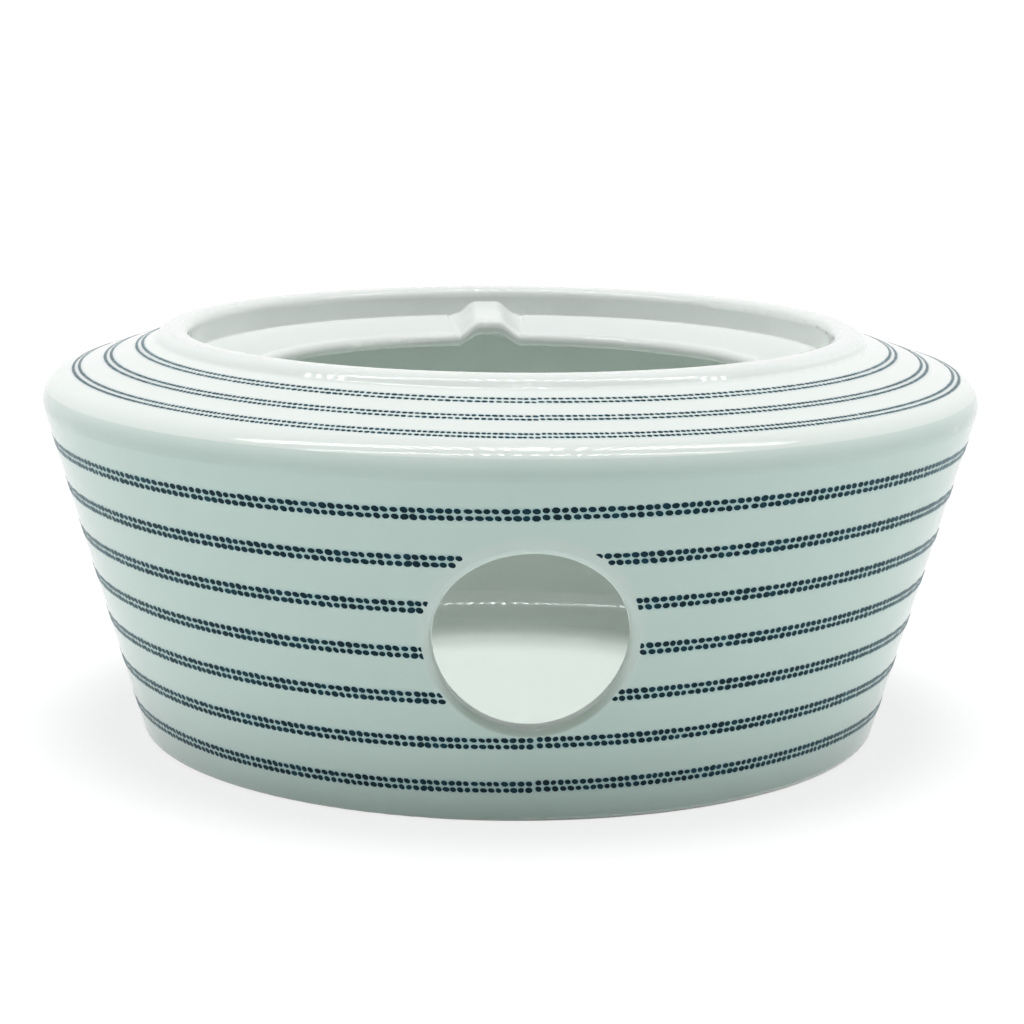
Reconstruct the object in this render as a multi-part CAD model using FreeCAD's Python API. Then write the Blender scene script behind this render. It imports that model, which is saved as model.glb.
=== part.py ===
import FreeCAD, Part
import math
import os

os.makedirs("parts", exist_ok=True)

# Teapot warmer, one piece of glazed porcelain, in millimetres and degrees.
# It stands on the plane z = 0 with its axis on Z, and its candle opening faces -Y.
# The section is drawn in the half-plane of radius and height and turned once round the axis.

# Outside of the body: a wall that leans outwards, and a shoulder that rises inwards from its top edge
FOOT_RADIUS = 59.5
FOOT_EDGE = 1.2
WALL_LEAN = 15.8
SHOULDER_HEIGHT = 56.6
SHOULDER_SLOPE = 18.4
SHOULDER_EDGE = 4.4

# Low collar round the seat: its width on top, its height over the shoulder and its outer flank
COLLAR_WIDTH = 4.3
COLLAR_STEP = 1.85
COLLAR_FLANK = 53.0
COLLAR_ROUND = 2.6
COLLAR_INNER_ROUND = 1.7
COLLAR_HOLLOW = 1.4

# Seat for the pot, which falls from the collar to the mouth in the middle
SEAT_RADIUS = 51.4
SEAT_WIDTH = 9.9
SEAT_DEPTH = 4.85
SEAT_SLOPE = 12.5
SEAT_HOLLOW = 0.3
SEAT_ROOT = 1.2
MOUTH_DEPTH = 2.3
MOUTH_EDGE = 1.5
MOUTH_UNDER_EDGE = 0.8

# Inside of the wall, and the underside with its low foot ring
WALL = 2.5
FLOOR_HEIGHT = 2.6
FLOOR_HOLLOW = 6.5
SHOULDER_INNER_HOLLOW = 2.4
COLLAR_INNER_HOLLOW = 4.0
COLLAR_INNER_SLOPE = 40.0
COLLAR_INNER_STEP = 1.0
COLLAR_INNER_EDGE = 0.5
BASE_RECESS = 0.5
FOOT_WIDTH = 5.0
FOOT_INNER_EDGE = 0.4

# Noses pressed up in the seat and its mouth edge, hollow beneath, which hold the pot clear
NOSE_COUNT = 3
NOSE_HEIGHT = 2.3
NOSE_HOLLOW_HEIGHT = 1.9
NOSE_WIDTH = 11.2
NOSE_TOP = 3.6
NOSE_TURN = 2.5
NOSE_SECTIONS = 13

# Round candle opening, bored square to the leaning wall at the front
OPENING_RADIUS = 13.95
OPENING_HEIGHT = 28.3
OPENING_EDGE = 1.2
OPENING_INNER_EDGE = 0.8

AXIS = FreeCAD.Vector(0, 0, 1)
ORIGIN = FreeCAD.Vector(0, 0, 0)
FULL_TURN = 360.0
QUARTER_TURN = 90.0
SAME_PLACE = 0.001


def tan(degrees):
    """Tangent of an angle in degrees."""
    return math.tan(math.radians(degrees))


def cos(degrees):
    """Cosine of an angle in degrees."""
    return math.cos(math.radians(degrees))


def sin(degrees):
    """Sine of an angle in degrees."""
    return math.sin(math.radians(degrees))


def wall_radius(height):
    """Outer radius of the leaning wall at a height."""
    return FOOT_RADIUS + height * tan(WALL_LEAN)


def inner_radius(height):
    """Inner radius of the leaning wall at a height."""
    return wall_radius(height) - WALL / cos(WALL_LEAN)


def shoulder_height(radius):
    """Height of the shoulder's sloping face at a radius."""
    return SHOULDER_HEIGHT + (wall_radius(SHOULDER_HEIGHT) - radius) * tan(SHOULDER_SLOPE)


COLLAR_FOOT_RADIUS = SEAT_RADIUS + COLLAR_WIDTH + COLLAR_STEP / tan(COLLAR_FLANK)
COLLAR_TOP = shoulder_height(COLLAR_FOOT_RADIUS) + COLLAR_STEP
MOUTH_RADIUS = SEAT_RADIUS - SEAT_WIDTH


def seat_height(radius):
    """Height of the seat's sloping face at a radius."""
    return COLLAR_TOP - SEAT_DEPTH - (SEAT_RADIUS - radius) * tan(SEAT_SLOPE)


def crossing(point_a, slope_a, point_b, slope_b):
    """Point where two lines meet, each given by one of its points and its rise per unit of radius."""
    rise = point_b[1] - point_a[1] + slope_a * point_a[0] - slope_b * point_b[0]
    radius = rise / (slope_a - slope_b)
    return radius, point_a[1] + slope_a * (radius - point_a[0])


def rounded_wire(corners, closed):
    """Wire of lines and arcs in the XZ plane along a row of corners (x, z, rounding radius)."""
    points = [FreeCAD.Vector(x, 0, z) for x, z, _ in corners]
    count = len(points)
    arrivals, departures, arcs = [], [], []
    for index, (_, _, rounding) in enumerate(corners):
        corner = points[index]
        if rounding == 0:
            arrivals.append(corner)
            departures.append(corner)
            arcs.append(None)
            continue
        back = (points[index - 1] - corner).normalize()
        ahead = (points[(index + 1) % count] - corner).normalize()
        half_angle = back.getAngle(ahead) / 2
        reach = rounding / math.tan(half_angle)
        middle = (back + ahead).normalize() * (rounding / math.sin(half_angle) - rounding)
        arrivals.append(corner + back * reach)
        departures.append(corner + ahead * reach)
        arcs.append(Part.Arc(arrivals[-1], corner + middle, departures[-1]).toShape())
    edges = []
    for index in range(count):
        if arcs[index]:
            edges.append(arcs[index])
        if closed or index < count - 1:
            arrival = arrivals[(index + 1) % count]
            edges.append(Part.LineSegment(departures[index], arrival).toShape())
    return Part.Wire(edges)


def shell_corners():
    """Corners of the section without its seat: up the outside, over the collar, and back inside."""
    under_seat = (SEAT_RADIUS, seat_height(SEAT_RADIUS) - MOUTH_DEPTH - COLLAR_INNER_STEP)
    under_shoulder = (SEAT_RADIUS, shoulder_height(SEAT_RADIUS) - WALL / cos(SHOULDER_SLOPE))
    inner_wall = (inner_radius(0), 0)
    under_collar = crossing(under_seat, tan(COLLAR_INNER_SLOPE), under_shoulder, -tan(SHOULDER_SLOPE))
    inner_shoulder = crossing(inner_wall, 1 / tan(WALL_LEAN), under_shoulder, -tan(SHOULDER_SLOPE))
    foot_inner_radius = FOOT_RADIUS - FOOT_WIDTH
    return [
        (FOOT_RADIUS, 0, FOOT_EDGE),
        (wall_radius(SHOULDER_HEIGHT), SHOULDER_HEIGHT, SHOULDER_EDGE),
        (COLLAR_FOOT_RADIUS, shoulder_height(COLLAR_FOOT_RADIUS), COLLAR_HOLLOW),
        (SEAT_RADIUS + COLLAR_WIDTH, COLLAR_TOP, COLLAR_ROUND),
        (SEAT_RADIUS, COLLAR_TOP, COLLAR_INNER_ROUND),
        (*under_seat, COLLAR_INNER_EDGE),
        (*under_collar, COLLAR_INNER_HOLLOW),
        (*inner_shoulder, SHOULDER_INNER_HOLLOW),
        (inner_radius(FLOOR_HEIGHT), FLOOR_HEIGHT, FLOOR_HOLLOW),
        (0, FLOOR_HEIGHT, 0),
        (0, BASE_RECESS, 0),
        (foot_inner_radius, BASE_RECESS, 0),
        (foot_inner_radius, 0, FOOT_INNER_EDGE),
    ]


def turned_shell():
    """Wall, shoulder, collar and floor, turned in one go."""
    section = Part.Face(rounded_wire(shell_corners(), closed=True))
    return section.revolve(ORIGIN, AXIS, FULL_TURN)


def nose_rise(across):
    """Share of a nose's full height at a distance from its middle line, with soft flanks."""
    flank = (NOSE_WIDTH - NOSE_TOP) / 2
    share = min(max((NOSE_WIDTH / 2 - abs(across)) / flank, 0), 1)
    return share * share * (3 - 2 * share)


def seat_section(turn):
    """Section of the seat from its root in the collar to the mouth, turned off a nose's middle line."""
    root_radius = SEAT_RADIUS + SEAT_ROOT
    root_top = seat_height(root_radius)
    mouth_top = seat_height(MOUTH_RADIUS)
    root_rise = nose_rise(root_radius * sin(turn))
    mouth_rise = nose_rise(MOUTH_RADIUS * sin(turn))
    section = rounded_wire(
        [
            (root_radius, root_top + root_rise * NOSE_HEIGHT, 0),
            (MOUTH_RADIUS, mouth_top + mouth_rise * NOSE_HEIGHT, MOUTH_EDGE),
            (MOUTH_RADIUS, mouth_top - MOUTH_DEPTH + mouth_rise * NOSE_HOLLOW_HEIGHT, MOUTH_UNDER_EDGE),
            (root_radius, root_top - MOUTH_DEPTH + root_rise * NOSE_HOLLOW_HEIGHT, 0),
        ],
        closed=True,
    )
    section.rotate(ORIGIN, AXIS, turn)
    return section


def seat_ring():
    """The seat with its noses spread evenly round it, the first one at the back."""
    half_turn = math.degrees(math.asin(NOSE_WIDTH / 2 / MOUTH_RADIUS))
    step = 2 * half_turn / (NOSE_SECTIONS - 1)
    spacing = FULL_TURN / NOSE_COUNT
    nose = Part.makeLoft([seat_section(index * step - half_turn) for index in range(NOSE_SECTIONS)], True)
    plain = Part.Face(seat_section(half_turn)).revolve(ORIGIN, AXIS, spacing - 2 * half_turn)
    sectors = []
    for index in range(NOSE_COUNT):
        for piece in (nose, plain):
            sector = piece.copy()
            sector.rotate(ORIGIN, AXIS, QUARTER_TURN + NOSE_TURN + index * spacing)
            sectors.append(sector)
    return sectors[0].fuse(sectors[1:])


def is_seat_root(edge):
    """Whether an edge runs along the foot of the collar's inner face, on the seat or over a nose."""
    middle = (edge.FirstParameter + edge.LastParameter) / 2
    for parameter in (edge.FirstParameter, middle, edge.LastParameter):
        point = edge.valueAt(parameter)
        if abs(math.hypot(point.x, point.y) - SEAT_RADIUS) > SAME_PLACE:
            return False
        above_seat = point.z - seat_height(SEAT_RADIUS)
        if not -SAME_PLACE < above_seat < SEAT_DEPTH - COLLAR_INNER_ROUND - SAME_PLACE:
            return False
    return True


def whole_body():
    """Shell and seat as one piece, with a small hollow where the seat meets the collar."""
    body = turned_shell().fuse(seat_ring()).removeSplitter()
    return body.makeFillet(SEAT_HOLLOW, [edge for edge in body.Edges if is_seat_root(edge)])


class CandleOpening:
    """The round opening in the front wall, with the point and direction of its axis."""

    def __init__(self):
        self.outward = FreeCAD.Vector(0, -cos(WALL_LEAN), -sin(WALL_LEAN))
        self.middle = FreeCAD.Vector(0, -wall_radius(OPENING_HEIGHT), OPENING_HEIGHT)

    def bored(self, body):
        """The body with the plain bore, which starts and ends well clear of the curved wall."""
        start = self.middle + self.outward * OPENING_RADIUS
        length = WALL + 2 * OPENING_RADIUS
        return body.cut(Part.makeCylinder(OPENING_RADIUS, length, start, self.outward * -1))

    def rims(self, body, outer):
        """The bore's rim edges on the outer or the inner face of the wall."""
        found = []
        for edge in body.Edges:
            depth = (self.middle - edge.CenterOfMass).dot(self.outward)
            if self.is_rim(edge) and (depth < WALL / 2) == outer:
                found.append(edge)
        return found

    def is_rim(self, edge):
        """Whether an edge keeps the bore's own distance from its axis and runs round it."""
        for parameter in (edge.FirstParameter, (edge.FirstParameter + edge.LastParameter) / 2):
            across = edge.valueAt(parameter) - self.middle
            radial = across - self.outward * across.dot(self.outward)
            if abs(radial.Length - OPENING_RADIUS) > SAME_PLACE:
                return False
        return edge.Length > OPENING_RADIUS

    def cut_from(self, body):
        """The body with the opening and its two soft rims."""
        body = self.bored(body)
        body = body.makeFillet(OPENING_EDGE, self.rims(body, outer=True))
        return body.makeFillet(OPENING_INNER_EDGE, self.rims(body, outer=False))


def main():
    """Build the warmer and write it as one solid."""
    warmer = CandleOpening().cut_from(whole_body())
    warmer.exportStep("parts/warmer_body.step")


main()
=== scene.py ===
"""Glazed porcelain teapot warmer with printed dotted rings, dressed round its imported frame."""

import logging
import math
import random
from dataclasses import dataclass
from enum import Enum

import bmesh
import bpy
from mathutils import Matrix, Vector


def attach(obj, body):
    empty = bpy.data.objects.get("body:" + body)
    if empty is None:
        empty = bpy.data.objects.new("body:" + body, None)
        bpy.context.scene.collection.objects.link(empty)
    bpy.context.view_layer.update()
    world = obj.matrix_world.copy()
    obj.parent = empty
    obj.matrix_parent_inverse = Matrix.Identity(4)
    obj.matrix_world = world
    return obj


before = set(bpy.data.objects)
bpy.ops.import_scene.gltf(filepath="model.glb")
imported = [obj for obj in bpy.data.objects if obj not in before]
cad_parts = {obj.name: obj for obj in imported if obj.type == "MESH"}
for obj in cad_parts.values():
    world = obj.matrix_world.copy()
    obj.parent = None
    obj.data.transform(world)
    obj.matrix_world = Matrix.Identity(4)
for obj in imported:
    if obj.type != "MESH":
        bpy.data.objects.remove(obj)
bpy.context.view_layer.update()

log = logging.getLogger("teapot_warmer")

MM = 0.001
MM_PER_METRE = 1000.0
BODY = "root"
PORCELAIN_NODE = "warmer_body"

# Sockets of the Mix node when it mixes colours, then when it mixes plain values
MIX_FACTOR = 0
MIX_A = 6
MIX_B = 7
MIX_COLOUR = 2
MIX_VALUE_A = 2
MIX_VALUE_B = 3

# Sockets of the Map Range node
FROM_MIN = 1
FROM_MAX = 2
TO_MIN = 3
TO_MAX = 4

# The sRGB curve: a straight foot up to a level, then a shifted power
SRGB_FOOT_END = 0.04045
SRGB_FOOT_SLOPE = 12.92
SRGB_SHIFT = 0.055
SRGB_POWER = 2.4

# How many waves the wall rings would make in a whole turn
WAVE_TURNS = 2.2

Colour = tuple[float, float, float, float]


def linear(hex_code: str) -> Colour:
    """Turn an sRGB hex colour into linear light.

    Args:
        hex_code: Six hex digits, with or without a leading hash.

    Returns:
        Red, green, blue and an alpha of 1.
    """
    digits = hex_code.lstrip("#")
    light = []
    for start in (0, 2, 4):
        level = int(digits[start:start + 2], 16) / 255
        if level <= SRGB_FOOT_END:
            light.append(level / SRGB_FOOT_SLOPE)
        else:
            light.append(((level + SRGB_SHIFT) / (1 + SRGB_SHIFT)) ** SRGB_POWER)
    return (*light, 1.0)


def add_node(
    tree: bpy.types.NodeTree, kind: str, settings: dict | None = None, links: dict | None = None
) -> bpy.types.Node:
    """Add a node with its settings and the links that feed it.

    Args:
        tree: Node tree that takes the node.
        kind: Blender's name for the node type.
        settings: Values by property name, or by the name or number of an input socket.
        links: Nodes or output sockets by the name or number of the input that they feed.

    Returns:
        The new node.
    """
    node = tree.nodes.new(kind)
    for name, value in (settings or {}).items():
        if isinstance(name, str) and hasattr(node, name):
            setattr(node, name, value)
        else:
            node.inputs[name].default_value = value
    for name, source in (links or {}).items():
        if isinstance(source, bpy.types.Node):
            source = source.outputs[0]
        tree.links.new(source, node.inputs[name])
    return node


def new_material(name: str) -> bpy.types.Material:
    """Make an empty material that uses nodes."""
    material = bpy.data.materials.new(name)
    material.use_nodes = True
    material.node_tree.nodes.clear()
    return material


def place_in_mm(tree: bpy.types.NodeTree) -> bpy.types.Node:
    """Add the nodes that give a place on the object in millimetres."""
    place = add_node(tree, "ShaderNodeTexCoord")
    to_mm = {"operation": "SCALE", "Scale": MM_PER_METRE}
    return add_node(tree, "ShaderNodeVectorMath", to_mm, {0: place.outputs["Object"]})


class Border(Enum):
    """How a mask rises across its border, by Blender's name for it."""

    SOFT = "SMOOTHSTEP"
    STRAIGHT = "LINEAR"


@dataclass(frozen=True)
class Fade:
    """The border of a mask, which is nothing at its start and full at its end."""

    start: float
    end: float
    border: Border = Border.SOFT

    def settings(self, top: float = 1.0) -> dict[int | str, float | str]:
        """Give the settings of the Map Range node that draws the border.

        Args:
            top: Strength of the full mask.

        Returns:
            The settings by socket number or property name.
        """
        return {
            FROM_MIN: self.start,
            FROM_MAX: self.end,
            TO_MIN: 0.0,
            TO_MAX: top,
            "interpolation_type": self.border.value,
        }


@dataclass(frozen=True)
class WarmerForm:
    """The lines of the body that the print and the glaze follow, in millimetres and degrees."""

    foot_radius: float = 59.5
    wall_lean: float = 15.8
    shoulder_height: float = 56.6
    shoulder_slope: float = 18.4
    opening_radius: float = 13.95
    opening_height: float = 28.3

    def wall_tangent(self) -> float:
        """How far the wall leans out for each millimetre of height."""
        return math.tan(math.radians(self.wall_lean))

    def wall_radius(self, height: float) -> float:
        """Outer radius of the leaning wall at a height."""
        return self.foot_radius + height * self.wall_tangent()

    def shoulder_at(self, radius: float) -> float:
        """Height of the sloping shoulder at a radius."""
        inwards = self.wall_radius(self.shoulder_height) - radius
        return self.shoulder_height + inwards * math.tan(math.radians(self.shoulder_slope))

    def opening_centre(self) -> Vector:
        """Centre of the candle opening on the wall's outer face."""
        return Vector((0, -self.wall_radius(self.opening_height), self.opening_height))


class Zone(Enum):
    """The two faces of the body that carry printed rings."""

    WALL = "wall"
    SHOULDER = "shoulder"


@dataclass(frozen=True)
class PaintedLightLine:
    """A line round the body where light or shade is painted, as a point of the section."""

    radius: float
    height: float
    reach: float


@dataclass(frozen=True)
class PrintTrim:
    """The circle round the candle opening in which the transfer is cut away, in millimetres."""

    radius: float = 15.6
    lift: float = 1.0


@dataclass(frozen=True)
class PrintedRows:
    """Where the print's double rows lie, in millimetres, for the ink that bleeds into the glaze."""

    lowest: float = 5.85
    wall_spacing: float = 7.025
    wall_top: float = 52.0
    wall_wave: float = 0.337
    innermost: float = 60.15
    shoulder_spacing: float = 4.975
    shoulder_shift: float = 0.9
    shoulder_edge: float = 71.8
    trim: PrintTrim = PrintTrim()


@dataclass(frozen=True)
class ClearGlazedPorcelain:
    """Hard porcelain, slip cast, under a clear gloss glaze fired on.

    The paste is a cool white, and the glaze gives it a faint green cast that varies in soft clouds.
    Shade is painted darker into the collar's hollow and below the candle opening, and light is
    painted paler onto the top, the seat, the crown, the opening's rim and the inside. It mirrors
    lamps sharply, its skin is very slightly uneven, and beside the printed rows a little of the ink
    has bled into it. The foot is wiped bare before firing. All sizes are in millimetres.
    """

    glaze: str = "#E4F1EC"
    # Greener glaze in random clouds, and as painted shade in the collar's hollow
    cloud_and_shade_glaze: str = "#D5E8E0"
    # Paler glaze painted as light on the top band, the seat, the crown and the opening's rim
    painted_light_glaze: str = "#F6FBF8"
    # Paler glaze painted inside, standing in for light that falls through the mouth
    lit_inside_glaze: str = "#F5FDF8"
    # Darker glaze painted as shade below the candle opening
    rim_shade_glaze: str = "#C2D1C7"
    unprinted_glaze: str = "#EBF2EE"
    bled_glaze: str = "#A3CCD0"
    bare_paste: str = "#E9E5DC"
    ior: float = 1.5
    gloss: float = 0.05
    bare_roughness: float = 0.55
    bare_foot: Fade = Fade(0.45, 0.25)

    cloud_size: float = 38.0
    cloud_detail: float = 2.0
    cloud_range: Fade = Fade(0.35, 0.7, Border.STRAIGHT)
    cloud_strength: float = 0.3
    skin_size: float = 9.0
    skin_detail: float = 1.0
    skin_height: float = 0.002

    # Masks by height, by depth behind the outer face and by distance from the opening's rim; most of them
    # place painted light and shade
    # Painted light: the top band and the seat are painted paler, as if lit from above
    lit_top_height: Fade = Fade(54.5, 58.5)
    lit_top_share: float = 0.4
    seat_edge: float = 57.4
    seat_fade: float = 3.0
    seat_height: Fade = Fade(54.0, 56.5)
    seat_light_share: float = 0.8
    inside_depth: float = 1.3
    inside_floor: float = 1.5
    bore_length: float = 20.0
    unprinted_margin: float = 0.2
    unprinted_fade: float = 2.0
    # Painted highlight: a thin pale line round the opening's rim
    rim_highlight_margin: float = 0.12
    rim_highlight_fade: float = 0.2
    # Painted shade below the candle opening
    rim_shade_drop: float = 0.35
    rim_shade_margin: float = 0.75
    rim_shade_fade: float = 0.5
    rim_shade_below: Fade = Fade(3.0, 12.0)

    # The ink's bleed beside its rings, and the share of a line's reach in which its mask is full
    bleed: float = 1.35
    bleed_strength: float = 0.55
    wall_depth: float = 0.6
    shoulder_depth: float = 0.8
    shoulder_margin: float = 0.9
    full_share: float = 0.4
    # Painted light on the collar's crown
    lit_crown_places: tuple[PaintedLightLine, ...] = (PaintedLightLine(53.3, 64.2, 3.2),)
    # Painted shade in the collar's hollow
    hollow_shade_places: tuple[PaintedLightLine, ...] = (PaintedLightLine(57.8, 62.8, 1.6),)

    def build(self, form: WarmerForm, rows: PrintedRows) -> bpy.types.Material:
        """Make the material.

        Args:
            form: The body's lines, which say where the wall, shoulder and opening are.
            rows: The print's rows.

        Returns:
            The finished material, on Object coordinates in millimetres.
        """
        material = new_material("clear_glazed_porcelain")
        tree = material.node_tree
        spot = place_in_mm(tree)
        axes = add_node(tree, "ShaderNodeSeparateXYZ", {}, {0: spot})
        flatten = {"operation": "MULTIPLY", 1: (1, 1, 0)}
        level = add_node(tree, "ShaderNodeVectorMath", flatten, {0: spot})
        length = add_node(tree, "ShaderNodeVectorMath", {"operation": "LENGTH"}, {0: level})
        radius = length.outputs["Value"]

        colour = self.glazed_colour(tree, form, rows, spot, axes, radius)
        bare = add_node(tree, "ShaderNodeMapRange", self.bare_foot.settings(), {0: axes.outputs["Z"]})
        colour = self.tinted(tree, colour, self.bare_paste, bare)
        shine = {TO_MIN: self.gloss, TO_MAX: self.bare_roughness}
        rough = add_node(tree, "ShaderNodeMapRange", shine, {0: bare})

        skin_pattern = {"Scale": 1 / self.skin_size, "Detail": self.skin_detail}
        skin = add_node(tree, "ShaderNodeTexNoise", skin_pattern, {"Vector": spot})
        skin_depth = {"Strength": 1.0, "Distance": self.skin_height * MM}
        skin_bump = add_node(tree, "ShaderNodeBump", skin_depth, {"Height": skin})
        surface = add_node(
            tree,
            "ShaderNodeBsdfPrincipled",
            {"IOR": self.ior},
            {"Base Color": colour, "Roughness": rough, "Normal": skin_bump},
        )
        add_node(tree, "ShaderNodeOutputMaterial", {}, {"Surface": surface})
        return material

    def glazed_colour(
        self,
        tree: bpy.types.NodeTree,
        form: WarmerForm,
        rows: PrintedRows,
        spot: bpy.types.Node,
        axes: bpy.types.Node,
        radius: bpy.types.NodeSocket,
    ) -> bpy.types.NodeSocket:
        """Add the nodes that colour the glaze, one tint over the other.

        Args:
            tree: Node tree of the material.
            form: The body's lines.
            rows: The print's rows.
            spot: Node that gives the place in millimetres.
            axes: Node that gives the three coordinates in millimetres.
            radius: Socket that gives the distance from the axis.

        Returns:
            The socket of the glaze's colour.
        """
        section = add_node(tree, "ShaderNodeCombineXYZ", {}, {0: radius, 1: axes.outputs["Z"]})
        cloud_pattern = {"Scale": 1 / self.cloud_size, "Detail": self.cloud_detail}
        clouds = add_node(tree, "ShaderNodeTexNoise", cloud_pattern, {"Vector": spot})
        cloudy = self.cloud_range.settings(self.cloud_strength)
        # Random clouds of greener glaze, then painted shade in the collar's hollow
        cloud_and_shade = add_node(tree, "ShaderNodeMapRange", cloudy, {0: clouds})
        cloud_and_shade = self.near(tree, section, self.hollow_shade_places, cloud_and_shade)
        colour = self.tinted(tree, linear(self.glaze), self.cloud_and_shade_glaze, cloud_and_shade)
        # Painted light: the inside is painted paler
        lit_inside = self.inside_wall(tree, form, axes, radius)
        colour = self.tinted(tree, colour, self.lit_inside_glaze, lit_inside)

        reach = rows.trim.radius + self.unprinted_margin
        cut = self.round_opening(tree, form, spot, rows.trim.lift, reach, self.unprinted_fade)
        bled = self.beside_rows(tree, form, rows, axes, radius, cut)
        colour = self.tinted(tree, colour, self.bled_glaze, bled)
        colour = self.tinted(tree, colour, self.unprinted_glaze, cut)
        # Painted shade on the lower edge of the candle opening
        colour = self.tinted(tree, colour, self.rim_shade_glaze, self.shaded_low_rim(tree, form, spot, axes))

        # Painted light: paler on the top band, then on the opening's rim, the seat and the crown
        lit_top_rise = self.lit_top_height.settings(self.lit_top_share)
        top = add_node(tree, "ShaderNodeMapRange", lit_top_rise, {0: axes.outputs["Z"]})
        colour = self.tinted(tree, colour, self.painted_light_glaze, top)
        # Painted highlight round the opening's rim
        reach = form.opening_radius + self.rim_highlight_margin
        rim_highlight = self.round_opening(tree, form, spot, 0.0, reach, self.rim_highlight_fade)
        lit_seat = self.lit_seat_mask(tree, axes, radius)
        painted_light = add_node(tree, "ShaderNodeMath", {"operation": "MAXIMUM"}, {0: rim_highlight, 1: lit_seat})
        painted_light = self.near(tree, section, self.lit_crown_places, painted_light)
        return self.tinted(tree, colour, self.painted_light_glaze, painted_light)

    def wall_line(
        self, tree: bpy.types.NodeTree, form: WarmerForm, axes: bpy.types.Node, radius: bpy.types.NodeSocket
    ) -> bpy.types.Node:
        """Add a node that follows the wall's slant from a place down to the table.

        Args:
            tree: Node tree of the material.
            form: The body's lines.
            axes: Node that gives the three coordinates in millimetres.
            radius: Socket that gives the distance from the axis.

        Returns:
            A node that gives the radius at which that line meets the table.
        """
        slant = {"operation": "MULTIPLY_ADD", 1: -form.wall_tangent()}
        return add_node(tree, "ShaderNodeMath", slant, {0: axes.outputs["Z"], 2: radius})

    def inside_wall(
        self, tree: bpy.types.NodeTree, form: WarmerForm, axes: bpy.types.Node, radius: bpy.types.NodeSocket
    ) -> bpy.types.Node:
        """Add the nodes that find the inside of the body, where light is painted paler.

        Args:
            tree: Node tree of the material.
            form: The body's lines.
            axes: Node that gives the three coordinates in millimetres.
            radius: Socket that gives the distance from the axis.

        Returns:
            A node that gives 1 inside the body and 0 outside.
        """
        line = self.wall_line(tree, form, axes, radius)
        inner_face = {"operation": "LESS_THAN", 1: form.foot_radius - self.inside_depth}
        behind = add_node(tree, "ShaderNodeMath", inner_face, {0: line})
        over_floor = {"operation": "GREATER_THAN", 1: self.inside_floor}
        above = add_node(tree, "ShaderNodeMath", over_floor, {0: axes.outputs["Z"]})
        return add_node(tree, "ShaderNodeMath", {"operation": "MULTIPLY"}, {0: behind, 1: above})

    def lit_seat_mask(
        self, tree: bpy.types.NodeTree, axes: bpy.types.Node, radius: bpy.types.NodeSocket
    ) -> bpy.types.Node:
        """Add the nodes that find the seat and the collar's inner flank, where light is painted paler.

        Args:
            tree: Node tree of the material.
            axes: Node that gives the three coordinates in millimetres.
            radius: Socket that gives the distance from the axis.

        Returns:
            A node that gives the seat's share on the seat and 0 outside the collar.
        """
        inwards = Fade(self.seat_edge, self.seat_edge - self.seat_fade).settings(self.seat_light_share)
        close = add_node(tree, "ShaderNodeMapRange", inwards, {0: radius})
        high = add_node(tree, "ShaderNodeMapRange", self.seat_height.settings(), {0: axes.outputs["Z"]})
        return add_node(tree, "ShaderNodeMath", {"operation": "MULTIPLY"}, {0: close, 1: high})

    def shaded_low_rim(
        self, tree: bpy.types.NodeTree, form: WarmerForm, spot: bpy.types.Node, axes: bpy.types.Node
    ) -> bpy.types.Node:
        """Add the nodes that find the lower edge of the candle opening, where shade is painted darker.

        Args:
            tree: Node tree of the material.
            form: The body's lines.
            spot: Node that gives the place in millimetres.
            axes: Node that gives the three coordinates in millimetres.

        Returns:
            A node that gives 1 on the lower edge and 0 elsewhere.
        """
        reach = form.opening_radius + self.rim_shade_margin
        edge = self.round_opening(tree, form, spot, -self.rim_shade_drop, reach, self.rim_shade_fade)
        middle = form.opening_height
        fall = Fade(middle - self.rim_shade_below.start, middle - self.rim_shade_below.end).settings()
        low = add_node(tree, "ShaderNodeMapRange", fall, {0: axes.outputs["Z"]})
        return add_node(tree, "ShaderNodeMath", {"operation": "MULTIPLY"}, {0: edge, 1: low})

    def tinted(
        self,
        tree: bpy.types.NodeTree,
        colour: Colour | bpy.types.NodeSocket,
        tint: str,
        share: bpy.types.Node,
    ) -> bpy.types.NodeSocket:
        """Lay a tint over a colour where a mask says.

        Args:
            tree: Node tree of the material.
            colour: Colour, or the socket that gives it.
            tint: Colour of the tint as a hex code.
            share: Node that gives the mask.

        Returns:
            The socket of the tinted colour.
        """
        settings = {"data_type": "RGBA", MIX_B: linear(tint)}
        links = {MIX_FACTOR: share}
        if isinstance(colour, tuple):
            settings[MIX_A] = colour
        else:
            links[MIX_A] = colour
        return add_node(tree, "ShaderNodeMix", settings, links).outputs[MIX_COLOUR]

    def near(
        self,
        tree: bpy.types.NodeTree,
        section: bpy.types.Node,
        places: tuple[PaintedLightLine, ...],
        mask: bpy.types.Node,
    ) -> bpy.types.Node:
        """Add lines round the body to a mask.

        Args:
            tree: Node tree of the material.
            section: Node that gives radius and height.
            places: The lines.
            mask: Node that gives the mask so far.

        Returns:
            A node that gives the wider mask.
        """
        for line in places:
            middle = {"operation": "DISTANCE", 1: (line.radius, line.height, 0)}
            off = add_node(tree, "ShaderNodeVectorMath", middle, {0: section}).outputs["Value"]
            fade = Fade(line.reach, self.full_share * line.reach).settings()
            lit = add_node(tree, "ShaderNodeMapRange", fade, {0: off})
            mask = add_node(tree, "ShaderNodeMath", {"operation": "MAXIMUM"}, {0: mask, 1: lit})
        return mask

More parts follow.
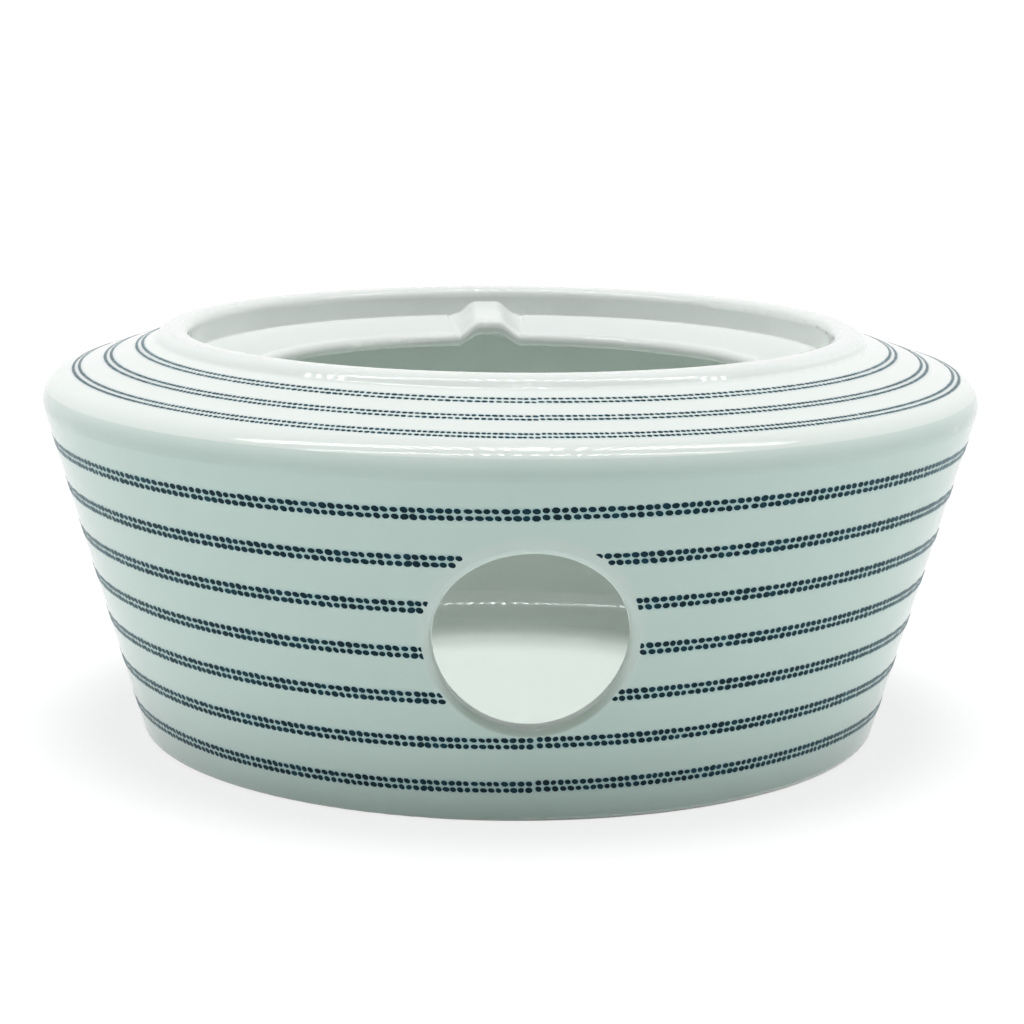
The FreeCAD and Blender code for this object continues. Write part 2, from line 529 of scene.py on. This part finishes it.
    def round_opening(
        self,
        tree: bpy.types.NodeTree,
        form: WarmerForm,
        spot: bpy.types.Node,
        lift: float,
        reach: float,
        fade: float,
    ) -> bpy.types.Node:
        """Add the nodes that find the surface round the candle opening.

        Args:
            tree: Node tree of the material.
            form: The body's lines.
            spot: Node that gives the place in millimetres.
            lift: How far up the wall the middle lies from the opening's centre.
            reach: How far the mask reaches from its middle.
            fade: Width over which it fades.

        Returns:
            A node that gives 1 round the opening and 0 elsewhere.
        """
        lean = math.radians(form.wall_lean)
        bore = Vector((0, -math.cos(lean), -math.sin(lean)))
        middle = form.opening_centre() + lift * Vector((0, -math.sin(lean), math.cos(lean)))
        away = add_node(tree, "ShaderNodeVectorMath", {"operation": "SUBTRACT", 1: middle}, {0: spot})
        square = {"operation": "CROSS_PRODUCT", 1: bore}
        across = add_node(tree, "ShaderNodeVectorMath", square, {0: away})
        off = add_node(tree, "ShaderNodeVectorMath", {"operation": "LENGTH"}, {0: across})
        edge = Fade(reach + fade / 2, reach - fade / 2).settings()
        mask = add_node(tree, "ShaderNodeMapRange", edge, {0: off.outputs["Value"]})
        depth = add_node(tree, "ShaderNodeVectorMath", {"operation": "DOT_PRODUCT", 1: bore}, {0: away})
        front = {"operation": "GREATER_THAN", 1: -self.bore_length}
        in_front = add_node(tree, "ShaderNodeMath", front, {0: depth.outputs["Value"]})
        return add_node(tree, "ShaderNodeMath", {"operation": "MULTIPLY"}, {0: mask, 1: in_front})

    def beside_rows(
        self,
        tree: bpy.types.NodeTree,
        form: WarmerForm,
        rows: PrintedRows,
        axes: bpy.types.Node,
        radius: bpy.types.NodeSocket,
        cut: bpy.types.Node,
    ) -> bpy.types.Node:
        """Add the nodes that find the glaze beside the printed rows.

        Args:
            tree: Node tree of the material.
            form: The body's lines.
            rows: The print's rows.
            axes: Node that gives the three coordinates in millimetres.
            radius: Socket that gives the distance from the axis.
            cut: Node that gives the unprinted place round the opening.

        Returns:
            A node that gives the strength of the bleed.
        """
        wall = self.beside_wall_rings(tree, form, rows, axes, radius)
        top = self.beside_shoulder_rings(tree, form, rows, axes, radius)
        both = add_node(tree, "ShaderNodeMath", {"operation": "MAXIMUM"}, {0: wall, 1: top})
        trimmed = {"operation": "SUBTRACT", "use_clamp": True}
        return add_node(tree, "ShaderNodeMath", trimmed, {0: both, 1: cut})

    def beside_ring(
        self, tree: bpy.types.NodeTree, across: bpy.types.Node, spacing: float
    ) -> bpy.types.Node:
        """Add the nodes that find what lies close to rings at even steps.

        Args:
            tree: Node tree of the material.
            across: Node that gives the way across the rings, from the first one.
            spacing: Step from one ring to the next.

        Returns:
            A node that gives the strength of the bleed.
        """
        steps = {"operation": "PINGPONG", 1: spacing / 2}
        off = add_node(tree, "ShaderNodeMath", steps, {0: across})
        fade = Fade(self.bleed, self.full_share * self.bleed).settings(self.bleed_strength)
        return add_node(tree, "ShaderNodeMapRange", fade, {0: off})

    def beside_wall_rings(
        self,
        tree: bpy.types.NodeTree,
        form: WarmerForm,
        rows: PrintedRows,
        axes: bpy.types.Node,
        radius: bpy.types.NodeSocket,
    ) -> bpy.types.Node:
        """Add the nodes that find the glaze beside the wall's rings, which wave slightly.

        Args:
            tree: Node tree of the material.
            form: The body's lines.
            rows: The print's rows.
            axes: Node that gives the three coordinates in millimetres.
            radius: Socket that gives the distance from the axis.

        Returns:
            A node that gives the strength of the bleed on the wall's outer face.
        """
        x, y, z = axes.outputs["X"], axes.outputs["Y"], axes.outputs["Z"]
        ahead = add_node(tree, "ShaderNodeMath", {"operation": "MULTIPLY", 1: -1.0}, {0: y})
        turn = add_node(tree, "ShaderNodeMath", {"operation": "ARCTAN2"}, {0: x, 1: ahead})
        swings = add_node(tree, "ShaderNodeMath", {"operation": "MULTIPLY", 1: WAVE_TURNS}, {0: turn})
        swing = add_node(tree, "ShaderNodeMath", {"operation": "SINE"}, {0: swings})
        offset = {"operation": "MULTIPLY_ADD", 1: -rows.wall_wave, 2: -rows.lowest}
        base = add_node(tree, "ShaderNodeMath", offset, {0: swing})
        height = add_node(tree, "ShaderNodeMath", {"operation": "ADD"}, {0: z, 1: base})
        bled = self.beside_ring(tree, height, rows.wall_spacing)
        line = self.wall_line(tree, form, axes, radius)
        outer_face = {"operation": "GREATER_THAN", 1: form.foot_radius - self.wall_depth}
        outer = add_node(tree, "ShaderNodeMath", outer_face, {0: line})
        under = add_node(tree, "ShaderNodeMath", {"operation": "LESS_THAN", 1: rows.wall_top}, {0: z})
        bled = add_node(tree, "ShaderNodeMath", {"operation": "MULTIPLY"}, {0: bled, 1: outer})
        return add_node(tree, "ShaderNodeMath", {"operation": "MULTIPLY"}, {0: bled, 1: under})

    def beside_shoulder_rings(
        self,
        tree: bpy.types.NodeTree,
        form: WarmerForm,
        rows: PrintedRows,
        axes: bpy.types.Node,
        radius: bpy.types.NodeSocket,
    ) -> bpy.types.Node:
        """Add the nodes that find the glaze beside the shoulder's rings, which lie off centre.

        Args:
            tree: Node tree of the material.
            form: The body's lines.
            rows: The print's rows.
            axes: Node that gives the three coordinates in millimetres.
            radius: Socket that gives the distance from the axis.

        Returns:
            A node that gives the strength of the bleed on the shoulder's upper face.
        """
        x, y, z = axes.outputs["X"], axes.outputs["Y"], axes.outputs["Z"]
        aside = {"operation": "SUBTRACT", 1: rows.shoulder_shift}
        shifted = add_node(tree, "ShaderNodeMath", aside, {0: x})
        flat = add_node(tree, "ShaderNodeCombineXYZ", {}, {0: shifted, 1: y})
        ring = add_node(tree, "ShaderNodeVectorMath", {"operation": "LENGTH"}, {0: flat})
        from_first = {"operation": "SUBTRACT", 1: rows.innermost}
        outward = add_node(tree, "ShaderNodeMath", from_first, {0: ring.outputs["Value"]})
        bled = self.beside_ring(tree, outward, rows.shoulder_spacing)
        slope = math.tan(math.radians(form.shoulder_slope))
        face = form.shoulder_height + form.wall_radius(form.shoulder_height) * slope
        raised = add_node(tree, "ShaderNodeMath", {"operation": "MULTIPLY_ADD", 1: slope}, {0: radius, 2: z})
        upper_face = {"operation": "GREATER_THAN", 1: face - self.shoulder_depth}
        upper = add_node(tree, "ShaderNodeMath", upper_face, {0: raised})
        middle = (rows.innermost + rows.shoulder_edge) / 2 - self.shoulder_margin
        half = (rows.shoulder_edge - rows.innermost) / 2 + self.shoulder_margin
        printed = {"operation": "COMPARE", 1: middle, 2: half}
        within = add_node(tree, "ShaderNodeMath", printed, {0: radius})
        bled = add_node(tree, "ShaderNodeMath", {"operation": "MULTIPLY"}, {0: bled, 1: upper})
        return add_node(tree, "ShaderNodeMath", {"operation": "MULTIPLY"}, {0: bled, 1: within})


@dataclass(frozen=True)
class UnderglazeInk:
    """Dark blue-green transfer ink, fired under the same glaze.

    Each dot is nearly black with a cold cast, a little paler where the ink went on thin. The glaze
    is thinnest over the dots, so they stay dark from the front, and at a low angle the fine
    crystals in the ink give them a cold blue-green haze.
    """

    ink: str = "#062A36"
    thin_ink: str = "#104858"
    haze: str = "#6FB3C2"
    haze_strength: float = 1.0
    haze_spread: float = 0.35
    ior: float = 1.2
    gloss: float = 0.15
    patch_size: float = 2.5
    patch_detail: float = 2.0
    patch_range: Fade = Fade(0.45, 0.75, Border.STRAIGHT)

    def build(self) -> bpy.types.Material:
        """Make the material, with ink that varies over a few dots."""
        material = new_material("underglaze_transfer_ink")
        tree = material.node_tree
        spot = place_in_mm(tree)
        pattern = {"Scale": 1 / self.patch_size, "Detail": self.patch_detail}
        patches = add_node(tree, "ShaderNodeTexNoise", pattern, {"Vector": spot})
        patchy = add_node(tree, "ShaderNodeMapRange", self.patch_range.settings(), {0: patches})
        colours = {"data_type": "RGBA", MIX_A: linear(self.ink), MIX_B: linear(self.thin_ink)}
        coloured = add_node(tree, "ShaderNodeMix", colours, {MIX_FACTOR: patchy})
        surface = add_node(
            tree,
            "ShaderNodeBsdfPrincipled",
            {
                "IOR": self.ior,
                "Roughness": self.gloss,
                "Sheen Weight": self.haze_strength,
                "Sheen Roughness": self.haze_spread,
                "Sheen Tint": linear(self.haze),
            },
            {"Base Color": coloured.outputs[MIX_COLOUR]},
        )
        add_node(tree, "ShaderNodeOutputMaterial", {}, {"Surface": surface})
        return material


@dataclass(frozen=True)
class DotSpread:
    """How uneven the printed dots are, in shares of the pitch and of the dot's height."""

    step_spread: float = 0.07
    width: float = 0.89
    width_spread: float = 0.05
    narrowest: float = 0.7
    widest: float = 1.0
    height_spread: float = 0.07
    lowest: float = 0.8
    tallest: float = 1.15
    slant: float = 0.12
    slant_spread: float = 0.1


@dataclass(frozen=True)
class DotRow:
    """One row's dots as shares of the pitch, so that rings of any size can use the same transfer."""

    starts: tuple[float, ...]
    widths: tuple[float, ...]
    heights: tuple[float, ...]
    slants: tuple[float, ...]

    @classmethod
    def drawn(cls, count: int, seed: int, spread: DotSpread) -> "DotRow":
        """Draw a row of slightly uneven dots.

        Args:
            count: Number of dots in one turn.
            seed: Start of the random draws.
            spread: How uneven the dots are.

        Returns:
            The row, whose steps add up to a whole turn.
        """
        draw = random.Random(seed)
        steps = [1 + draw.gauss(0, spread.step_spread) for _ in range(count)]
        scale = count / sum(steps)
        starts, widths, place = [], [], 0.0
        for step in steps:
            place += step * scale
            starts.append(place)
            width = step * draw.gauss(spread.width, spread.width_spread)
            widths.append(min(max(width, spread.narrowest), spread.widest))
        heights = []
        for _ in steps:
            height = draw.gauss(1.0, spread.height_spread)
            heights.append(min(max(height, spread.lowest), spread.tallest))
        slants = [draw.gauss(spread.slant, spread.slant_spread) for _ in steps]
        return cls(tuple(starts), tuple(widths), tuple(heights), tuple(slants))


@dataclass(frozen=True)
class DottedRing:
    """A double row of printed dots round the body, in millimetres.

    The ring lies at a height on the wall, or at a radius on the shoulder. Only the dot's radius
    is a share, of the dot's width and height.
    """

    name: str
    zone: Zone
    station: float
    rows: tuple[DotRow, DotRow]
    row_gap: float = 1.07
    dot_height: float = 0.87
    rise: float = 0.015
    root: float = 0.12
    corners: int = 8
    dot_radius: float = 0.51
    joint_at: float = 0.85
    joint_gap: float = 0.05
    joint_step: float = 0.15
    trim: PrintTrim = PrintTrim()
    sideways: float = 0.0
    wave: float = 0.0

    def line(self, form: WarmerForm) -> tuple[Vector, Vector, Vector]:
        """Where the ring lies on the section, as (radius, height) vectors.

        Args:
            form: The body's lines.

        Returns:
            The ring's place, the direction up the face and the direction out of it.
        """
        if self.zone is Zone.WALL:
            lean = math.radians(form.wall_lean)
            place = Vector((form.wall_radius(self.station), self.station))
            return place, Vector((math.sin(lean), math.cos(lean))), Vector((math.cos(lean), -math.sin(lean)))
        slope = math.radians(form.shoulder_slope)
        place = Vector((self.station, form.shoulder_at(self.station)))
        return place, Vector((-math.cos(slope), math.sin(slope))), Vector((math.sin(slope), math.cos(slope)))

    def build(self, form: WarmerForm, ink: bpy.types.Material) -> bpy.types.Object:
        """Print both rows as one piece of thin closed dots.

        Args:
            form: The body's lines.
            ink: Material of the dots.

        Returns:
            The ring's object.
        """
        place, up, out = self.line(form)
        shape = bmesh.new()
        for row, side in zip(self.rows, (0.5, -0.5)):
            self.lay_row(shape, row, side * self.row_gap, place.x)
        if self.zone is Zone.WALL:
            self.keep_clear(shape, form, place, up)
        tops = list(shape.faces)
        grown = bmesh.ops.extrude_face_region(shape, geom=tops)["geom"]
        roots = [part for part in grown if isinstance(part, bmesh.types.BMVert)]
        bmesh.ops.translate(shape, verts=roots, vec=(0, 0, -self.root - self.rise))
        self.wrap(shape, place, up, out)
        bmesh.ops.recalc_face_normals(shape, faces=shape.faces)
        mesh = bpy.data.meshes.new(self.name)
        shape.to_mesh(mesh)
        shape.free()
        mesh.materials.append(ink)
        piece = bpy.data.objects.new(self.name, mesh)
        bpy.context.scene.collection.objects.link(piece)
        return piece

    def lay_row(self, shape: bmesh.types.BMesh, row: DotRow, across: float, radius: float) -> None:
        """Lay one row of dots flat, with the way round on X and the way up the face on Y.

        Args:
            shape: Mesh that takes the dots.
            row: The row's dots.
            across: How far up the face the row lies from the ring's middle.
            radius: Radius of the ring, which sets its length.
        """
        length = math.tau * radius - self.joint_gap
        pitch = length / len(row.starts)
        for start, width, height, slant in zip(row.starts, row.widths, row.heights, row.slants):
            along = self.joint_at + self.joint_gap / 2 + (start - 0.5) * pitch
            middle = math.remainder(along, math.tau * radius)
            drift = self.joint_step * (0.5 - start / len(row.starts))
            size = Matrix.Diagonal((width * pitch, height * self.dot_height, 1, 1))
            lean = Matrix.Identity(4)
            lean[0][1] = -slant
            at = Matrix.Translation((middle, across + drift, self.rise))
            flat_top = Matrix.Rotation(math.pi / self.corners, 4, "Z")
            bmesh.ops.create_circle(
                shape,
                cap_ends=True,
                segments=self.corners,
                radius=self.dot_radius,
                matrix=at @ lean @ size @ flat_top,
            )

    def keep_clear(self, shape: bmesh.types.BMesh, form: WarmerForm, place: Vector, up: Vector) -> None:
        """Cut the print away round the candle opening, as the maker trimmed the transfer.

        Args:
            shape: Mesh with the flat dots.
            form: The body's lines.
            place: The ring's place on the section.
            up: Direction up the face on the section.
        """
        below = (place.y - form.opening_height) / up.y - self.trim.lift
        gone = []
        for face in shape.faces:
            middle = face.calc_center_median()
            if Vector((middle.x, middle.y + below)).length < self.trim.radius:
                gone.append(face)
        bmesh.ops.delete(shape, geom=gone, context="FACES")
        for vert in shape.verts:
            offset = Vector((vert.co.x, vert.co.y + below))
            if offset.length < self.trim.radius:
                offset *= self.trim.radius / offset.length
                vert.co.x = offset.x
                vert.co.y = offset.y - below

    def wrap(self, shape: bmesh.types.BMesh, place: Vector, up: Vector, out: Vector) -> None:
        """Bend the flat dots round the body.

        Args:
            shape: Mesh with the flat dots.
            place: The ring's place on the section.
            up: Direction up the face on the section.
            out: Direction out of the face on the section.
        """
        for vert in shape.verts:
            turn = vert.co.x / place.x
            swing = self.wave * math.sin(WAVE_TURNS * turn)
            climb = vert.co.y - self.sideways * math.sin(turn) + swing
            at = place + up * climb + out * vert.co.z
            vert.co = Vector((at.x * math.sin(turn), -at.x * math.cos(turn), at.y)) * MM


@dataclass(frozen=True)
class DottedPrint:
    """The ten rings: seven down the wall and three on the shoulder."""

    wall_heights: tuple[float, ...] = (48.0, 40.98, 33.95, 26.93, 19.9, 12.88, 5.85)
    wall_count: int = 356
    wall_wave: float = 0.35
    wall_joint_gaps: tuple[float, ...] = (0.05, 0.05, 0.05, 0.05, 0.05, 0.28, 0.28)
    shoulder_radii: tuple[float, ...] = (60.15, 65.1, 70.1)
    shoulder_counts: tuple[int, ...] = (384, 452, 526)
    shoulder_row_gap: float = 1.0
    shoulder_dot_height: float = 0.58
    shoulder_sideways: float = 0.95
    seed: int = 7
    seed_step: int = 10
    spread: DotSpread = DotSpread()

    def row_pair(self, count: int, seed: int) -> tuple[DotRow, DotRow]:
        """Draw the two rows of a ring."""
        return DotRow.drawn(count, seed, self.spread), DotRow.drawn(count, seed + 1, self.spread)

    def rings(self) -> list[DottedRing]:
        """List the rings from the collar down, each with its rows of dots."""
        found = []
        for index, (radius, count) in enumerate(zip(self.shoulder_radii, self.shoulder_counts)):
            found.append(
                DottedRing(
                    name=f"shoulder_ring_{index + 1}",
                    zone=Zone.SHOULDER,
                    station=radius,
                    rows=self.row_pair(count, self.seed + self.seed_step * (index + 1)),
                    row_gap=self.shoulder_row_gap,
                    dot_height=self.shoulder_dot_height,
                    sideways=self.shoulder_sideways,
                )
            )
        rows = self.row_pair(self.wall_count, self.seed)
        for index, height in enumerate(self.wall_heights):
            found.append(
                DottedRing(
                    name=f"wall_ring_{index + 1}",
                    zone=Zone.WALL,
                    station=height,
                    rows=rows,
                    joint_gap=self.wall_joint_gaps[index],
                    wave=self.wall_wave,
                )
            )
        return found

    def build(self, form: WarmerForm, ink: bpy.types.Material) -> list[bpy.types.Object]:
        """Print all rings.

        Args:
            form: The body's lines.
            ink: Material of the dots.

        Returns:
            The rings' objects.
        """
        pieces = []
        for ring in self.rings():
            piece = ring.build(form, ink)
            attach(piece, BODY)
            log.info("%s: %d faces", piece.name, len(piece.data.polygons))
            pieces.append(piece)
        return pieces


@dataclass(frozen=True)
class PorcelainBody:
    """The cast body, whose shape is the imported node's own."""

    form: WarmerForm
    rows: PrintedRows
    glaze: ClearGlazedPorcelain

    def dress(self) -> bpy.types.Object:
        """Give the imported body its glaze."""
        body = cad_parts[PORCELAIN_NODE]
        body.data.materials[0] = self.glaze.build(self.form, self.rows)
        log.info("%s: %d faces, dressed in place", body.name, len(body.data.polygons))
        return body


@dataclass(frozen=True)
class LightPanel:
    """A bright part of the tent, by elevation and by turn from the front, in degrees."""

    low: float
    high: float
    near: float
    far: float
    light: float


@dataclass(frozen=True)
class LampRow:
    """A straight row of small lamps under the tent's flat roof, in shares of the roof's height."""

    ahead: float
    reach: float
    depth: float


@dataclass(frozen=True)
class LightTent:
    """White tent, as the world: soft panels light the object, and its gloss mirrors rows of lamps.

    Lamps are measured in shares of the roof's height, and their blur in shares of their half width.
    """

    backdrop: str = "#FFFFFF"
    shown_light: float = 1.0
    panels: tuple[LightPanel, ...] = (
        LightPanel(79.0, 95.0, -1.0, 181.0, 18.5),
        LightPanel(45.0, 80.0, -1.0, 55.0, 0.9),
        LightPanel(45.0, 65.0, 120.0, 181.0, 0.6),
        LightPanel(-5.0, 20.0, 75.0, 120.0, 2.4),
    )
    panel_fade: float = 4.0
    rows: tuple[LampRow, ...] = (LampRow(0.05, 1.0, 0.2), LampRow(0.53, 1.0, 0.14))
    lamp_light: float = 15.0
    lamp_spacing: float = 0.054
    lamp_width: float = 0.021
    lamp_blur: float = 0.15
    lowest_lamp: float = 0.05

    def build(self) -> None:
        """Make the world."""
        world = bpy.data.worlds.new("light_tent")
        world.use_nodes = True
        tree = world.node_tree
        tree.nodes.clear()
        place = add_node(tree, "ShaderNodeTexCoord")
        axes = add_node(tree, "ShaderNodeSeparateXYZ", {}, {0: place.outputs["Generated"]})
        raised = add_node(tree, "ShaderNodeMath", {"operation": "ARCSINE"}, {0: axes.outputs["Z"]})
        elevation = add_node(tree, "ShaderNodeMath", {"operation": "DEGREES"}, {0: raised})
        ahead = add_node(tree, "ShaderNodeMath", {"operation": "MULTIPLY", 1: -1.0}, {0: axes.outputs["Y"]})
        turned = add_node(tree, "ShaderNodeMath", {"operation": "ARCTAN2"}, {0: axes.outputs["X"], 1: ahead})
        degrees = add_node(tree, "ShaderNodeMath", {"operation": "DEGREES"}, {0: turned})
        turn = add_node(tree, "ShaderNodeMath", {"operation": "ABSOLUTE"}, {0: degrees})
        tent = self.sum_of(tree, [self.panel_light(tree, elevation, turn, panel) for panel in self.panels])
        lamps = self.sum_of(tree, [self.lamp_light_of(tree, axes, ahead, row) for row in self.rows])
        rays = add_node(tree, "ShaderNodeLightPath")
        glossy = rays.outputs["Is Glossy Ray"]
        mirrored = add_node(tree, "ShaderNodeMath", {"operation": "MULTIPLY"}, {0: lamps, 1: glossy})
        either = {"operation": "MAXIMUM"}
        seen = add_node(tree, "ShaderNodeMath", either, {0: rays.outputs["Is Camera Ray"], 1: glossy})
        passed = rays.outputs["Is Transmission Ray"]
        shown = add_node(tree, "ShaderNodeMath", either, {0: seen, 1: passed})
        white = {"data_type": "FLOAT", MIX_VALUE_B: self.shown_light}
        plain = add_node(tree, "ShaderNodeMix", white, {MIX_FACTOR: shown, MIX_VALUE_A: tent})
        bright = add_node(tree, "ShaderNodeMath", {"operation": "ADD"}, {0: plain, 1: mirrored})
        light = add_node(tree, "ShaderNodeBackground", {"Color": linear(self.backdrop)}, {"Strength": bright})
        add_node(tree, "ShaderNodeOutputWorld", {}, {"Surface": light})
        bpy.context.scene.world = world

    def sum_of(self, tree: bpy.types.NodeTree, parts: list[bpy.types.Node]) -> bpy.types.Node:
        """Add nodes that add up several values.

        Args:
            tree: Node tree of the world.
            parts: Nodes that give the values.

        Returns:
            A node that gives their sum.
        """
        total = parts[0]
        for part in parts[1:]:
            total = add_node(tree, "ShaderNodeMath", {"operation": "ADD"}, {0: total, 1: part})
        return total

    def panel_light(
        self,
        tree: bpy.types.NodeTree,
        elevation: bpy.types.Node,
        turn: bpy.types.Node,
        panel: LightPanel,
    ) -> bpy.types.Node:
        """Add the nodes that light one panel, with soft borders.

        Args:
            tree: Node tree of the world.
            elevation: Node that gives the elevation in degrees.
            turn: Node that gives the turn from the front in degrees.
            panel: The panel.

        Returns:
            A node that gives the panel's light.
        """
        half = self.panel_fade / 2
        borders = (
            (elevation, panel.low - half, panel.low + half),
            (elevation, panel.high + half, panel.high - half),
            (turn, panel.near - half, panel.near + half),
            (turn, panel.far + half, panel.far - half),
        )
        light = None
        for angle, dark, lit in borders:
            mask = add_node(tree, "ShaderNodeMapRange", Fade(dark, lit).settings(), {0: angle})
            if light is None:
                strength = {"operation": "MULTIPLY", 1: panel.light}
                light = add_node(tree, "ShaderNodeMath", strength, {0: mask})
            else:
                light = add_node(tree, "ShaderNodeMath", {"operation": "MULTIPLY"}, {0: light, 1: mask})
        return light

    def lamp_light_of(
        self, tree: bpy.types.NodeTree, axes: bpy.types.Node, ahead: bpy.types.Node, row: LampRow
    ) -> bpy.types.Node:
        """Add the nodes that light one row's lamps, found where a direction meets the flat roof.

        Args:
            tree: Node tree of the world.
            axes: Node that gives the direction.
            ahead: Node that gives how far the direction points to the front.
            row: The row of lamps.

        Returns:
            A node that gives the lamps' light.
        """
        up = axes.outputs["Z"]
        aside = add_node(tree, "ShaderNodeMath", {"operation": "DIVIDE"}, {0: axes.outputs["X"], 1: up})
        depth = add_node(tree, "ShaderNodeMath", {"operation": "DIVIDE"}, {0: ahead, 1: up})
        steps = {"operation": "PINGPONG", 1: self.lamp_spacing / 2}
        off = add_node(tree, "ShaderNodeMath", steps, {0: aside})
        half = self.lamp_width / 2
        edge = Fade((1 + self.lamp_blur) * half, (1 - self.lamp_blur) * half, Border.STRAIGHT)
        lamp = add_node(tree, "ShaderNodeMapRange", edge.settings(self.lamp_light), {0: off})
        masks = (
            ({"operation": "COMPARE", 1: row.ahead, 2: row.depth / 2}, depth),
            ({"operation": "COMPARE", 1: 0.0, 2: row.reach}, aside),
            ({"operation": "GREATER_THAN", 1: self.lowest_lamp}, up),
        )
        for settings, value in masks:
            mask = add_node(tree, "ShaderNodeMath", settings, {0: value})
            lamp = add_node(tree, "ShaderNodeMath", {"operation": "MULTIPLY"}, {0: lamp, 1: mask})
        return lamp


@dataclass(frozen=True)
class PaleTable:
    """White table top that shows as the background and keeps a light shadow.

    It is 28 m wide, so that its edge never shows, and lies a hair below the foot ring.
    """

    half_width: float = 14.0
    cells: int = 4
    drop: float = 0.02
    bounce: str = "#EAF6F3"
    shown: str = "#FFFFFF"
    shown_glow: float = 0.77
    shown_share: float = 0.28

    def build(self) -> bpy.types.Object:
        """Make the table top and its finish."""
        shape = bmesh.new()
        bmesh.ops.create_grid(shape, x_segments=self.cells, y_segments=self.cells, size=self.half_width)
        bmesh.ops.translate(shape, verts=shape.verts, vec=(0, 0, -self.drop * MM))
        mesh = bpy.data.meshes.new("table_top")
        shape.to_mesh(mesh)
        shape.free()
        mesh.materials.append(self.finish())
        table = bpy.data.objects.new("table_top", mesh)
        bpy.context.scene.collection.objects.link(table)
        return table

    def finish(self) -> bpy.types.Material:
        """Make the finish: plain white to the eye, and a softer bounce on the object."""
        material = new_material("matt_table_top")
        tree = material.node_tree
        rays = add_node(tree, "ShaderNodeLightPath")
        looks = {0: rays.outputs["Is Camera Ray"], 1: rays.outputs["Is Glossy Ray"]}
        shown = add_node(tree, "ShaderNodeMath", {"operation": "MAXIMUM"}, looks)
        bounce = add_node(tree, "ShaderNodeBsdfDiffuse", {"Color": linear(self.bounce)})
        shade = add_node(tree, "ShaderNodeBsdfDiffuse", {"Color": (*(self.shown_share,) * 3, 1.0)})
        glowing = {"Color": linear(self.shown), "Strength": self.shown_glow}
        glow = add_node(tree, "ShaderNodeEmission", glowing)
        white = add_node(tree, "ShaderNodeAddShader", {}, {0: shade, 1: glow})
        surface = add_node(tree, "ShaderNodeMixShader", {}, {0: shown, 1: bounce, 2: white})
        add_node(tree, "ShaderNodeOutputMaterial", {}, {"Surface": surface})
        return material


@dataclass(frozen=True)
class StudioCamera:
    """The camera, with its distances and lens in millimetres and its angles in degrees."""

    azimuth: float = -2.8
    distance: float = 443.8
    height: float = 121.9
    pitch: float = 11.219
    roll: float = 0.496
    to_the_right: float = 0.39
    lens: float = 97.6
    clip_near: float = 10.0
    clip_far: float = 100000.0

    def build(self) -> bpy.types.Object:
        """Make the camera and set it as the scene's."""
        data = bpy.data.cameras.new("studio_camera")
        data.lens = self.lens
        data.clip_start = self.clip_near * MM
        data.clip_end = self.clip_far * MM
        camera = bpy.data.objects.new("studio_camera", data)
        turn = Matrix.Rotation(math.radians(self.azimuth), 4, "Z")
        start = Matrix.Translation(Vector((self.to_the_right, -self.distance, self.height)) * MM)
        tilt = Matrix.Rotation(math.radians(90 - self.pitch), 4, "X")
        camera.matrix_world = turn @ start @ tilt @ Matrix.Rotation(math.radians(self.roll), 4, "Z")
        bpy.context.scene.collection.objects.link(camera)
        bpy.context.scene.camera = camera
        return camera


def main() -> None:
    """Build the studio, dress the body and print its rings."""
    logging.basicConfig(level=logging.INFO, format="%(message)s")
    bpy.context.scene.view_settings.view_transform = "Standard"
    StudioCamera().build()
    LightTent().build()
    PaleTable().build()
    form = WarmerForm()
    PorcelainBody(form, PrintedRows(), ClearGlazedPorcelain()).dress()
    DottedPrint().build(form, UnderglazeInk().build())


if __name__ == "__main__":
    main()
